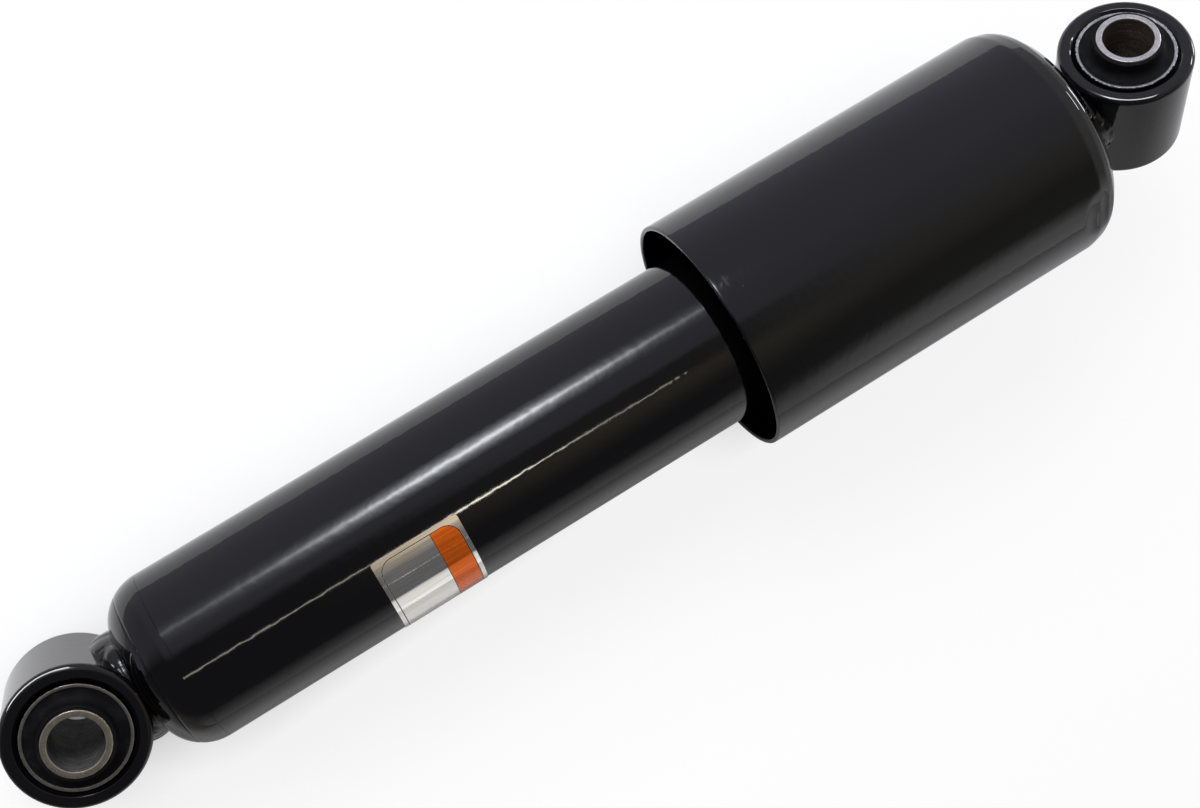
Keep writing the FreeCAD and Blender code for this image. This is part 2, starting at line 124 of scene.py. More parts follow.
def round_corners(corners):
    """A closed outline from corners given as (along, out, rounding)."""
    points = []
    for i, (along, out, rounding) in enumerate(corners):
        here = Vector((along, out))
        if rounding == 0:
            points.append(here)
            continue
        before = (Vector(corners[i - 1][:2]) - here).normalized()
        after = (Vector(corners[(i + 1) % len(corners)][:2]) - here).normalized()
        half = before.angle(after) / 2
        centre = here + (before + after).normalized() * (rounding / math.sin(half))
        first = here + before * (rounding / math.tan(half)) - centre
        last = here + after * (rounding / math.tan(half)) - centre
        steps = max(fewest_arc_steps, math.ceil(rounding * (math.pi - 2 * half) / arc_pitch))
        for step in range(steps + 1):
            points.append(centre + first.slerp(last, step / steps) * rounding)
    return points


def guard_runs(points):
    """The same outline with a point near both ends of each long run."""
    guarded = []
    for here, there in zip(points, points[1:] + points[:1]):
        guarded.append(here)
        run = there - here
        if run.length > shortest_guarded_run:
            step = run.normalized() * guard
            guarded += [here + step, there - step]
    return guarded


print("an arc gets a point every", round(arc_pitch / mm, 2), "mm")

# %% Spin an outline into a piece
import bmesh

turn_sides = 224
sharp_angle = math.radians(38)
axis_radius = 1e-7


def join_rings(shape, ring, following):
    """Faces between two rings of points; a ring on the axis is a single point."""
    if len(ring) == 1 and len(following) == 1:
        return
    sides = max(len(ring), len(following))
    for side in range(sides):
        later = (side + 1) % sides
        if len(ring) == 1:
            shape.faces.new((ring[0], following[later], following[side]))
        elif len(following) == 1:
            shape.faces.new((ring[side], ring[later], following[0]))
        else:
            shape.faces.new((ring[side], ring[later], following[later], following[side]))


def keep_mesh(name, shape):
    """Turns an edit mesh into a smooth-shaded object in the scene."""
    bmesh.ops.recalc_face_normals(shape, faces=shape.faces)
    mesh = bpy.data.meshes.new(name)
    shape.to_mesh(mesh)
    shape.free()
    mesh.shade_smooth()
    mesh.set_sharp_from_angle(angle=sharp_angle)
    piece = bpy.data.objects.new(name, mesh)
    scene.collection.objects.link(piece)
    return piece


def turned(name, outline):
    """A closed piece of revolution about X."""
    shape = bmesh.new()
    rings = []
    for along, out in outline:
        if out < axis_radius:
            rings.append([shape.verts.new((along, 0, 0))])
            continue
        ring = []
        for side in range(turn_sides):
            angle = math.tau * side / turn_sides
            ring.append(shape.verts.new((along, out * math.sin(angle), out * math.cos(angle))))
        rings.append(ring)
    for ring, following in zip(rings, rings[1:] + rings[:1]):
        join_rings(shape, ring, following)
    piece = keep_mesh(name, shape)
    print(name, len(piece.data.vertices), "points")
    return piece


def dress(piece, stands_for, body, finish):
    """Gives a piece its finish, parents it to what it moves with and hides the solid it stands for."""
    piece.data.materials.append(finish)
    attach(piece, body)
    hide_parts(stands_for)


print("a turned piece has", turn_sides, "sides")

# %% [markdown]
# ## Writing a finish
# A finish is a small tree of shader nodes. Wiring each socket by hand hides the idea, so a helper
# adds one node with its inputs: an input is either a plain value or the output of another node.
# Patterns read the piece's own coordinates in metres, so a scale of 400 is a pattern 2.5 mm wide,
# and it stays on the piece when a joint moves it.

# %% Node helpers
def node(tree, kind, inputs=None, **settings):
    """One node, with inputs that are values or other nodes' outputs."""
    made = tree.nodes.new(kind)
    for setting, value in settings.items():
        setattr(made, setting, value)
    for name, value in (inputs or {}).items():
        if isinstance(value, bpy.types.NodeSocket):
            tree.links.new(value, made.inputs[name])
        else:
            made.inputs[name].default_value = value
    return made


def maths(tree, operation, first, second=0.0):
    """The result of one sum."""
    return node(tree, "ShaderNodeMath", {0: first, 1: second}, operation=operation).outputs[0]


def vector_maths(tree, operation, first, second=(0, 0, 0)):
    """The result of one sum on vectors."""
    return node(tree, "ShaderNodeVectorMath", {0: first, 1: second}, operation=operation).outputs[0]


def length_of(tree, vector):
    """How long a vector is."""
    return node(tree, "ShaderNodeVectorMath", {0: vector}, operation="LENGTH").outputs["Value"]


def axis_of(tree, vector, axis):
    """One of a vector's X, Y and Z."""
    return node(tree, "ShaderNodeSeparateXYZ", {"Vector": vector}).outputs[axis]


print("helpers for sums are ready")

# %% Pattern helpers
rising = (0.0, 1.0)
falling = (1.0, 0.0)
mix_amount = 0
mix_first = 6
mix_second = 7
mix_result = 2


def spread(tree, value, span, result):
    """A value carried smoothly from one span to another."""
    low, high = span
    first, last = result
    inputs = {"Value": value, "From Min": low, "From Max": high, "To Min": first, "To Max": last}
    return node(tree, "ShaderNodeMapRange", inputs, interpolation_type="SMOOTHSTEP").outputs["Result"]


def noise(tree, where, size, detail=2.0):
    """Soft noise whose blobs are about this size."""
    inputs = {"Vector": where, "Scale": 1 / size, "Detail": detail}
    return node(tree, "ShaderNodeTexNoise", inputs).outputs["Fac"]


def blend(tree, amount, first, second):
    """One colour where the amount is 0 and another where it is 1."""
    inputs = {mix_amount: amount, mix_first: first, mix_second: second}
    return node(tree, "ShaderNodeMix", inputs, data_type="RGBA").outputs[mix_result]


def bump(tree, height, depth, under=None):
    """A bump of this depth in metres, on top of another bump where one is given."""
    inputs = {"Height": height, "Distance": depth}
    if under is not None:
        inputs["Normal"] = under
    return node(tree, "ShaderNodeBump", inputs).outputs["Normal"]


def new_finish(name):
    """An empty finish: its material, node tree, shader and the piece's own coordinates."""
    finish = bpy.data.materials.new(name)
    finish.use_nodes = True
    tree = finish.node_tree
    shader = tree.nodes["Principled BSDF"]
    where = node(tree, "ShaderNodeTexCoord").outputs["Object"]
    return finish, tree, shader, where


def connect(tree, shader, **sockets):
    """Wires outputs to the shader by socket name, with _ for a space."""
    for name, output in sockets.items():
        tree.links.new(output, shader.inputs[name.replace("_", " ")])


print("helpers for finishes are ready")

# %% [markdown]
# ## Gloss black paint
# The damper is dipped or sprayed in a deep gloss black. Up close such paint is never a mirror: it
# dries with a faint orange peel a couple of millimetres wide, carries a few dust nibs, and is a
# little duller where hands have been. The first two are bumps of a few thousandths of a millimetre
# and the last is a slow change of roughness. The colour itself stays almost black, because all that
# the eye sees on it is what it mirrors.

# %% Gloss black paint
peel_size = 2.4 * mm
peel_depth = 0.022 * mm
nib_size = 7 * mm
nib_share = 0.13
nib_reach = 0.07
nib_height = 0.035 * mm
handled_size = 22 * mm
handled_span = (0.35, 0.75)
paint_roughness = (0.045, 0.09)
deep_black = (0.0006, 0.0006, 0.0008, 1)
worn_black = (0.0014, 0.0014, 0.0016, 1)


def nibs(tree, where):
    """Rare small round grains: only some cells of a cell pattern carry one."""
    cells = node(tree, "ShaderNodeTexVoronoi", {"Vector": where, "Scale": 1 / nib_size})
    grain = spread(tree, cells.outputs["Distance"], (0.0, nib_reach), falling)
    chosen = node(tree, "ShaderNodeSeparateColor", {"Color": cells.outputs["Color"]})
    rare = maths(tree, "LESS_THAN", chosen.outputs["Red"], nib_share)
    return maths(tree, "MULTIPLY", grain, rare)


def gloss_paint(name):
    """Deep black with an orange peel, a few nibs and patches dulled by hands."""
    finish, tree, shader, where = new_finish(name)
    peel = bump(tree, noise(tree, where, peel_size, detail=1.0), peel_depth)
    grains = bump(tree, nibs(tree, where), nib_height, peel)
    handled = noise(tree, where, handled_size, detail=4.0)
    tone = blend(tree, handled, deep_black, worn_black)
    rough = spread(tree, handled, handled_span, paint_roughness)
    connect(tree, shader, Base_Color=tone, Roughness=rough, Normal=grains)
    return finish


paint = gloss_paint("gloss_black_paint")
print("finish:", paint.name)

# %% [markdown]
# ## The body tube and its rounded end
# The tube is drawn steel with a pressed end cap. The cap's shoulder is one large arc, and two fine
# lines run round it: the edge of the press tool and the seam to the tube. They are cut into the
# outline as shallow grooves, because a line in the mesh still shows when the light moves and a
# painted line doesn't. The grooves are about as deep as a fingernail can feel.

# %% Body tube
seam_chamfer = 0.06 * mm
tube_wall = 2.0 * mm
tube_mouth_rounding = 0.5 * mm
tube_outline = guard_runs(round_corners([
    (tube_low.x, body_radius - tube_wall, 0),
    (tube_low.x, body_radius - seam_chamfer, 0),
    (tube_low.x + seam_chamfer, body_radius, 0),
    (tube_high.x, body_radius, tube_mouth_rounding),
    (tube_high.x, body_radius - tube_wall, 0),
]))
body_tube = turned("body_tube", tube_outline)
dress(body_tube, "cylinder_tube", "cylinder", paint)

# %% Rounded end
quarter_turn = 90
shoulder_radius = tube_low.x - base_low.x
shoulder_centre = Vector((tube_low.x, body_radius - shoulder_radius))
shoulder_steps = 140
groove_angle = 57.0
groove_depth = 0.14 * mm
groove_half = 1.1
base_wall = 4.0 * mm


def shoulder_point(degrees):
    """A point of the shoulder, measured from the flat end, with the press line's groove."""
    away = (degrees - groove_angle) / groove_half
    reach = shoulder_radius - groove_depth * math.exp(-away * away)
    angle = math.radians(degrees)
    return shoulder_centre + Vector((-math.cos(angle), math.sin(angle))) * reach


seam_degrees = math.degrees(seam_chamfer / shoulder_radius)
base_outline = [Vector((base_low.x, 0))]
for step in range(shoulder_steps + 1):
    base_outline.append(shoulder_point((quarter_turn - seam_degrees) * step / shoulder_steps))
base_outline.append(Vector((tube_low.x, body_radius - seam_chamfer)))
base_outline.append(Vector((tube_low.x, body_radius - tube_wall)))
base_outline.append(Vector((base_low.x + base_wall, shoulder_centre.y)))
base_outline.append(Vector((base_low.x + base_wall, 0)))
base_end = turned("base_end", base_outline)
dress(base_end, "base_cap", "cylinder", paint)

# %% [markdown]
# ## The dust cover
# The cover is a thin tube, open at the mouth so that the body can slide into it, with a pressed cap
# on its far end. The press leaves the cap's corner in narrow steps, and each bend between two steps
# draws a fine line of light. One shallow dent marks the corner. Dents are made by moving points, not
# by bump, so the outline and the reflection bend together as they do on steel. That needs rings of
# points close enough to bend, so the outlines are divided finely near the dent only.

# %% Cover tube
cover_wall = 1.2 * mm
lip_rounding = 0.45 * mm
cover_inner = cover_radius - cover_wall
dent_place = 273.6 * mm
dent_degrees = -37.0
dent_half_length = 5.6 * mm
dent_half_width = 7.6 * mm
dent_depth = 0.8 * mm
dent_edge = 1.4
dent_ring_pitch = 0.25 * mm


def divide(points, pitch):
    """The same open outline with points no further apart than the pitch."""
    divided = [points[0]]
    for here, there in zip(points, points[1:]):
        steps = math.ceil((there - here).length / pitch)
        divided += [here.lerp(there, step / steps) for step in range(1, steps + 1)]
    return divided


def press_dent(piece, skin):
    """Pushes in what lies outside the radius of the skin, deepest at the dent's middle."""
    for vertex in piece.data.vertices:
        out = math.hypot(vertex.co.y, vertex.co.z)
        if out < skin:
            continue
        angle = math.atan2(vertex.co.y, vertex.co.z) - math.radians(dent_degrees)
        away = math.hypot((vertex.co.x - dent_place) / dent_half_length, angle * out / dent_half_width)
        if away < 1:
            pushed = 1 - dent_depth * (1 - away * away) ** dent_edge / out
            vertex.co.y *= pushed
            vertex.co.z *= pushed


dent_begins = dent_place - dent_half_length
cover_outline = round_corners([
    (cover_high.x, cover_inner, 0),
    (cover_high.x, cover_radius, 0),
    (dent_begins, cover_radius, 0),
    (cover_low.x, cover_radius, lip_rounding),
    (cover_low.x, cover_inner, lip_rounding),
])
dented_run = divide(cover_outline[1:3], dent_ring_pitch)
cover_outline = guard_runs(cover_outline[:1] + dented_run + cover_outline[3:])
dust_cover = turned("dust_cover", cover_outline)
press_dent(dust_cover, cover_radius - cover_wall / 2)
dress(dust_cover, "cover_tube", "rod_assembly", paint)

# %% Cover end
end_wall = 1.6 * mm
end_inner = cover_radius - end_wall
inner_slope = 4.0 * mm
inner_rounding = 2.0 * mm
skin_margin = 0.01 * mm
rod_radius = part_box("piston_rod")[1].z
press_steps = ((7.9, 0.0, 5.0), (4.8, 0.75, 3.2), (3.1, 1.58, 3.0), (0.0, 5.05, 4.0))
press_corners = [
    (end_high.x - from_end * mm, cover_radius - below_side * mm, rounding * mm)
    for from_end, below_side, rounding in press_steps
]
end_steps = round_corners([(end_low.x, cover_radius, 0), *press_corners, (end_high.x, rod_radius, 0)])
end_outline = divide(end_steps[:-1], dent_ring_pitch) + end_steps[-1:] + round_corners([
    (end_high.x - end_wall, rod_radius, 0),
    (end_high.x - end_wall, end_inner - inner_slope, inner_rounding),
    (end_low.x, end_inner, 0),
])
cover_end = turned("cover_end", guard_runs(end_outline))
press_dent(cover_end, end_inner + skin_margin)
dress(cover_end, "cover_cap", "rod_assembly", paint)

# %% [markdown]
# ## The two eyes
# Each eye is a thick ring cut from tube, with rounded rims and a chamfered mouth. Both are the same
# piece, so one outline makes them, and a matrix lays each along its own bore. The piece keeps its own
# coordinates, with X along the bore, which makes rings easy to draw in its finish later.

# %% Eyes
eye_rounding = 1.5 * mm
mouth_width = 1.3 * mm
mouth_depth = 1.0 * mm
edge_rounding = 0.15 * mm
shell_radius = shell_high.x
along_bore = Matrix.Rotation(-math.pi / 2, 4, "Y")
upper_axis = Vector(upper_mount["axis"])
upper_turn = -math.atan2(upper_axis.y, upper_axis.z)
bore_frames = {
    "lower": along_bore,
    "upper": Matrix.Translation((eye_spacing, 0, 0)) @ Matrix.Rotation(upper_turn, 4, "X") @ along_bore,
}
fixed_bodies = {"lower": "cylinder", "upper": "rod_assembly"}
eye_corners = []
for side in (1, -1):
    half_ring = [
        (side * (eye_half - mouth_depth), shell_radius, edge_rounding),
        (side * eye_half, shell_radius + mouth_width, 2 * edge_rounding),
        (side * eye_half, eye_radius, eye_rounding),
    ]
    eye_corners += half_ring if side == 1 else half_ring[::-1]


def lay_in_eye(piece, end):
    """Lays a piece that was turned about X along the bore of the lower or upper eye."""
    piece.matrix_world = bore_frames[end]
    return piece


eyes = {}
for end in bore_frames:
    eyes[end] = lay_in_eye(turned(end + "_eye_ring", guard_runs(round_corners(eye_corners))), end)
    dress(eyes[end], end + "_eye", fixed_bodies[end], paint)

# %% [markdown]
# ## The welds
# Each eye is welded on by hand, and the bead is a row of frozen puddles, each a little different and
# overlapping the last. A swept tube with ripples would be too even. Instead a core ring and a row of
# uneven drops are melted into one skin by Blender's voxel remesh, then smoothed, as thick paint would
# smooth them. The drops come from a seeded random row, so each run makes the same weld.

# %% Weld helpers
import random

neck_radius = 13.0 * mm
drop_pitch = 3.8 * mm
drop_roundness = 3
weld_voxel = 0.3 * mm
weld_smoothing = 6
core_sides = 120


def add_drop(shape, along, angle, out, half_along, half_out, half_round):
    """One egg-shaped drop, turned to stand on the neck at this angle."""
    stand = Matrix.Rotation(-angle, 4, "X")
    place = Matrix.Translation((along, 0, out))
    egg = Matrix.Diagonal((half_along, half_round, half_out, 1))
    turn = stand @ place @ egg
    bmesh.ops.create_icosphere(shape, subdivisions=drop_roundness, radius=1, matrix=turn)


def add_core(shape, radius, start, stop):
    """A solid plug between two edges, given as functions of the angle round the rod."""
    rings = [[], []]
    for side in range(core_sides):
        angle = math.tau * side / core_sides
        radial = Vector((0, math.sin(angle), math.cos(angle))) * radius
        rings[0].append(shape.verts.new(radial + Vector((start(angle), 0, 0))))
        rings[1].append(shape.verts.new(radial + Vector((stop(angle), 0, 0))))
    for side in range(core_sides):
        later = (side + 1) % core_sides
        shape.faces.new((rings[0][side], rings[0][later], rings[1][later], rings[1][side]))
    for ring in rings:
        centre = shape.verts.new(sum((corner.co for corner in ring), Vector()) / core_sides)
        for side in range(core_sides):
            shape.faces.new((ring[side], ring[(side + 1) % core_sides], centre))


def melt(name, shape):
    """Fuses overlapping drops into one smooth skin."""
    lumps = keep_mesh(name + "_drops", shape)
    remesh = lumps.modifiers.new("melt", "REMESH")
    remesh.mode = "VOXEL"
    remesh.voxel_size = weld_voxel
    smooth = lumps.modifiers.new("settle", "SMOOTH")
    smooth.iterations = weld_smoothing
    skin = bpy.data.meshes.new_from_object(lumps.evaluated_get(bpy.context.evaluated_depsgraph_get()))
    bpy.data.objects.remove(lumps)
    skin.name = name
    skin.shade_smooth()
    weld = bpy.data.objects.new(name, skin)
    scene.collection.objects.link(weld)
    print(name, len(skin.vertices), "points")
    return weld


print("a weld's skin is made of voxels of", round(weld_voxel / mm, 2), "mm")

# %% Rows of drops
weld_seed = 11
angle_scatter = (-0.22, 0.22)
size_scatter = (0.88, 1.14)
along_scatter = (-0.35, 0.35)
out_scatter = (-0.3, 0.25)
width_scatter = (0.85, 1.15)
spatter_sizes = (1.0, 2.0)
spatter_reach = (-0.7, 0.7)
spatter_lift = (-0.5, 0.2)
puddles = random.Random(weld_seed)


def steady(value):
    """An edge or a width that is the same all round."""
    return lambda angle: value


def weld_row(shape, drops, middle, half_along, out, half_out):
    """A row of uneven drops round the neck; middle and half_along are functions of the angle."""
    for drop in range(drops):
        angle = math.tau * (drop + puddles.uniform(*angle_scatter)) / drops
        size = puddles.uniform(*size_scatter)
        along = middle(angle) + puddles.uniform(*along_scatter) * mm
        lifted = out + puddles.uniform(*out_scatter) * mm
        half_round = drop_pitch * puddles.uniform(*width_scatter)
        add_drop(shape, along, angle, lifted, half_along(angle) * size, half_out * size, half_round)


def spatter(shape, drops, middle, half_along, out):
    """Small drops strewn over a bead, which leave it knobbly."""
    for drop in range(drops):
        angle = math.tau * puddles.random()
        size = puddles.uniform(*spatter_sizes) * mm
        along = middle(angle) + half_along(angle) * puddles.uniform(*spatter_reach)
        lifted = out + puddles.uniform(*spatter_lift) * mm
        add_drop(shape, along, angle, lifted, size, size, size)


row_drops = round(math.tau * neck_radius / drop_pitch)
print("drops in a row:", row_drops)

# %% Lower weld
eye_sink = 1.5 * mm
dome_sink = 1.0 * mm
lower_shift = 0.3 * mm
lower_overlap = 1.3 * mm
lower_row_radius = neck_radius - 0.9 * mm
lower_row_height = 1.7 * mm
lower_spatter_radius = neck_radius - 1.1 * mm
spatter_drops = 34


def eye_surface(angle, bore_turn):
    """How far the eye's round side reaches along the rod, at this angle round the neck."""
    across = neck_radius * math.sin(angle + bore_turn)
    return math.sqrt(eye_radius ** 2 - across ** 2)


def dome_surface(out):
    """Where the rounded end is, this far from the axis."""
    beyond = max(0.0, out - shoulder_centre.y)
    return shoulder_centre.x - math.sqrt(shoulder_radius ** 2 - beyond ** 2)


dome_edge = dome_surface(neck_radius)


def lower_start(angle):
    """Where the core begins, sunk into the eye."""
    return eye_surface(angle, 0) - eye_sink


def lower_middle(angle):
    """The middle of the bead, between the eye and the rounded end."""
    return (eye_surface(angle, 0) + dome_edge) / 2 + lower_shift


def lower_half(angle):
    """Half the bead's width, with an overlap on both sides."""
    return (dome_edge - eye_surface(angle, 0)) / 2 + lower_overlap


weld_shape = bmesh.new()
add_core(weld_shape, neck_radius, lower_start, steady(dome_edge + dome_sink))
weld_row(weld_shape, row_drops, lower_middle, lower_half, lower_row_radius, lower_row_height)
spatter(weld_shape, spatter_drops, lower_middle, lower_half, lower_spatter_radius)
lower_weld = melt("lower_weld", weld_shape)
dress(lower_weld, "lower_weld_bead", "cylinder", paint)

# %% Upper weld
cap_sink = 0.8 * mm
toe = end_high.x + 0.4 * mm
toe_half = 1.7 * mm
toe_height = 1.2 * mm
saddle_gap = 0.5 * mm
saddle_half = 1.5 * mm
saddle_height = 0.9 * mm
upper_core = neck_radius - 1.2 * mm
saddle_radius = upper_core - 0.4 * mm
upper_spatter_radius = upper_core - 1.3 * mm


def upper_surface(angle):
    """Where the upper eye's round side is along the rod, at this angle round the neck."""
    return eye_spacing - eye_surface(angle, upper_turn)


def upper_stop(angle):
    """Where the core ends, sunk into the eye."""
    return upper_surface(angle) + eye_sink


def saddle(angle):
    """The line of the second row, just short of the eye's side."""
    return upper_surface(angle) - saddle_gap


def upper_side(angle):
    """The middle of the bead's slope, between its toe and the second row."""
    return (toe + saddle(angle)) / 2


def upper_side_half(angle):
    """Half the length of that slope."""
    return (saddle(angle) - toe) / 2


weld_shape = bmesh.new()
add_core(weld_shape, upper_core, steady(end_high.x - cap_sink), upper_stop)
weld_row(weld_shape, row_drops, steady(toe), steady(toe_half), upper_core, toe_height)
weld_row(weld_shape, row_drops, saddle, steady(saddle_half), saddle_radius, saddle_height)
spatter(weld_shape, spatter_drops // 2, upper_side, upper_side_half, upper_spatter_radius)
upper_weld = melt("upper_weld", weld_shape)
dress(upper_weld, "upper_weld_bead", "rod_assembly", paint)

# %% [markdown]
# ## Finishes of the bushes
# A bush is a rubber ring bonded between two steel sleeves. The steel is zinc plated: the lower one
# has gone dull and yellowish, the upper one is still silver. Each bore is painted darker, as painted
# shade in the hole, and shows the rings of the tool that cut it. The black paint laps a little over
# the outer sleeve and ends in a ragged line. All of these follow the distance from the bore's axis,
# which the piece's own coordinates give straight away.

# %% Plated steel
bore_shade_edge = (bolt_radius + 0.05 * mm, bolt_radius + 0.25 * mm)
blotch_size = 1.6 * mm
blotch_span = (0.35, 0.7)
dull_span = (0.3, 0.8)
speckle_size = 0.35 * mm
speckle_span = (0.58, 0.72)
speckle_share = (0.0, 0.55)
bore_speckle_span = (0.35, 0.65)
bore_speckle_share = (0.1, 1.0)
ring_stretch = (9, 1, 1)
ring_size = 8 * mm
ring_span = (0.4, 0.65)
ring_share = (0.15, 1.0)
cut_size = 2.5 * mm
cut_depth = 0.02 * mm
ragged_size = 0.8 * mm
ragged_middle = 0.5
lap_edge = 0.08 * mm
lap_black = (0.001, 0.001, 0.0012, 1)
metal_under_bore_shade = (1.0, 0.25)
plate_roughness = (0.34, 0.52)
paint_share = (0.25, 1.0)


def radius_of(tree, where):
    """Distance from the piece's own X axis."""
    return length_of(tree, vector_maths(tree, "MULTIPLY", where, (0, 1, 1)))


def plated(name, plates, bore_shades, bare_to, raggedness):
    """Zinc plate with a bore darkened as painted shade and tooled, speckle, and ragged paint beyond a radius.
    """
    finish, tree, shader, where = new_finish(name)
    out = radius_of(tree, where)
    blotch = noise(tree, where, blotch_size, detail=5.0)
    speckle = noise(tree, where, speckle_size)
    plate = blend(tree, spread(tree, blotch, blotch_span, rising), *plates)
    plate = blend(tree, spread(tree, speckle, speckle_span, speckle_share), plate, bore_shades[0])
    # Painted shade: inside the bore the plate turns to darker, less metallic tones, as shade in the hole; the
    # tool's rings on them are real marks.
    bore_shade = spread(tree, out, bore_shade_edge, falling)
    rings = vector_maths(tree, "MULTIPLY", where, ring_stretch)
    ringed = spread(tree, noise(tree, rings, ring_size, detail=3.0), ring_span, ring_share)
    pitted = spread(tree, speckle, bore_speckle_span, bore_speckle_share)
    tooling = maths(tree, "MULTIPLY", ringed, pitted)
    steel = blend(tree, bore_shade, plate, blend(tree, tooling, *bore_shades))
    ragged = maths(tree, "SUBTRACT", noise(tree, where, ragged_size, detail=3.0), ragged_middle)
    edge = maths(tree, "ADD", out, maths(tree, "MULTIPLY", ragged, raggedness))
    painted = spread(tree, edge, (bare_to, bare_to + lap_edge), rising)
    tone = blend(tree, painted, steel, lap_black)
    bare = maths(tree, "SUBTRACT", 1.0, painted)
    metal = maths(tree, "MULTIPLY", bare, spread(tree, bore_shade, rising, metal_under_bore_shade))
    rough = spread(tree, blotch, dull_span, plate_roughness)
    rough = maths(tree, "MULTIPLY", rough, spread(tree, bare, rising, paint_share))
    tooled = bump(tree, noise(tree, rings, cut_size), cut_depth)
    connect(tree, shader, Base_Color=tone, Metallic=metal, Roughness=rough, Normal=tooled)
    return finish


print("plate is dark up to", round(bore_shade_edge[0] / mm, 2), "mm from the bore's axis")

# %% Yellow and bright plating
no_paint = 20 * mm
even_lap = shell_radius - 0.18 * mm
rough_lap = shell_radius - 0.28 * mm
even_edge = 0.25 * mm
rough_edge = 0.9 * mm
straw = ((0.6, 0.55, 0.43, 1), (0.4, 0.36, 0.27, 1))
old_straw = ((0.42, 0.4, 0.33, 1), (0.28, 0.27, 0.22, 1))
silver = ((0.68, 0.67, 0.66, 1), (0.54, 0.53, 0.52, 1))
old_silver = ((0.6, 0.6, 0.61, 1), (0.36, 0.36, 0.37, 1))
# Painted shade: the dark tones of the bores, as shade in the hole, with the tool's rings running between the
# two.
grey_bore_shade = ((0.03, 0.03, 0.03, 1), (0.17, 0.166, 0.16, 1))
brown_bore_shade = ((0.03, 0.024, 0.02, 1), (0.15, 0.118, 0.098, 1))
sleeve_finish = {
    "lower": plated("yellow_zinc_sleeve", straw, grey_bore_shade, no_paint, even_edge),
    "upper": plated("bright_zinc_sleeve", silver, brown_bore_shade, no_paint, rough_edge),
}
shell_finish = {
    "lower": plated("yellow_zinc_shell", old_straw, grey_bore_shade, even_lap, even_edge),
    "upper": plated("bright_zinc_shell", old_silver, brown_bore_shade, rough_lap, rough_edge),
}
print("finishes:", [finish.name for finish in (*sleeve_finish.values(), *shell_finish.values())])

# %% Bush rubber
dust_size = 4 * mm
dust_span = (0.45, 0.8)
dust_rough_span = (0.2, 0.8)
dust_roughness = 0.2
mould_size = 0.5 * mm
mould_depth = 0.02 * mm
rubber_specular = 0.1
fresh_rubber = (0.003, 0.003, 0.0035, 1)
dusty_rubber = (0.008, 0.008, 0.009, 1)
matte = 0.6


def soft_rubber(name, dark, grey, gloss):
    """Moulded rubber: matte, faintly grained, greyer where dust has settled."""
    finish, tree, shader, where = new_finish(name)
    dust = noise(tree, where, dust_size, detail=5.0)
    tone = blend(tree, spread(tree, dust, dust_span, rising), dark, grey)
    rough = spread(tree, dust, dust_rough_span, (gloss, gloss + dust_roughness))
    grain = bump(tree, noise(tree, where, mould_size, detail=3.0), mould_depth)
    shader.inputs["Specular IOR Level"].default_value = rubber_specular
    connect(tree, shader, Base_Color=tone, Roughness=rough, Normal=grain)
    return finish


rubber = soft_rubber("bush_rubber", fresh_rubber, dusty_rubber, matte)
print("finish:", rubber.name)

# %% [markdown]
# ## The bushes
# From the bolt outwards: the inner sleeve stands proud of the eye at both ends, the rubber is dished
# beside the outer sleeve and climbs the inner one, and the outer sleeve is pressed in until it stands
# a hair proud of the eye's face. The inner sleeve twists in its rubber as the suspension moves, so it
# rides on a body of its own.

# %% Inner sleeves, rubbers and outer sleeves
sleeve_half = sleeve_high.z
sleeve_radius = sleeve_high.x
sleeve_rounding = 0.3 * mm
shell_half = shell_high.z
shell_inner = rubber_high.x
shell_rounding = 0.3 * mm
running_gap = 0.05 * mm
rubber_recess = 0.4 * mm
collar_wall = 0.8 * mm
rubber_inner = sleeve_radius + running_gap
rubber_lip = rubber_high.z
rubber_rim = shell_half - rubber_recess
collar_radius = rubber_inner + collar_wall
collar_rounding = 0.3 * mm
flare_radius = 2.0 * mm
sleeve_bodies = {"lower": "lower_sleeve", "upper": "upper_sleeve"}


def ring_corners(half, inner, outer, rounding, cut_edge):
    """A plain ring with eased edges; the bore's edge at the cut end stays nearly sharp."""
    return [
        (half, inner, rounding),
        (half, outer, rounding),
        (-half, outer, rounding),
        (-half, inner, cut_edge),
    ]


def rubber_corners():
    """The rubber's section: a collar up the sleeve, flared into a face that ends at the outer ring."""
    face = [
        (rubber_lip, rubber_inner, 0),
        (rubber_lip, collar_radius, collar_rounding),
        (rubber_rim, collar_radius, flare_radius),
        (rubber_rim, shell_inner, 0),
    ]
    return face + [(-along, out, rounding) for along, out, rounding in face[::-1]]


cut_edge = 0.05 * mm
shell_corners = ring_corners(shell_half, shell_inner, shell_radius, shell_rounding, shell_rounding)
sleeve_corners = ring_corners(sleeve_half, bolt_radius, sleeve_radius, sleeve_rounding, cut_edge)
for end in bore_frames:
    bush = end + "_bush_"
    shell = lay_in_eye(turned(bush + "shell", guard_runs(round_corners(shell_corners))), end)
    dress(shell, bush + "outer_sleeve", fixed_bodies[end], shell_finish[end])
    filling = lay_in_eye(turned(bush + "filling", guard_runs(round_corners(rubber_corners()))), end)
    dress(filling, bush + "rubber", fixed_bodies[end], rubber)
    sleeve = lay_in_eye(turned(end + "_bolt_sleeve", guard_runs(round_corners(sleeve_corners))), end)
    dress(sleeve, bush + "inner_sleeve", sleeve_bodies[end], sleeve_finish[end])

# %% [markdown]
# ## The foil label
# A silver foil is wrapped part of the way round the tube. It could be a painted patch on the body,
# but a real label has an edge that catches light, so it is a thin closed sheet bent round the tube
# with small round corners. It carries a map of itself in millimetres, so that a printed frame line
# and a plain orange panel can be drawn by distance alone, with no picture file.

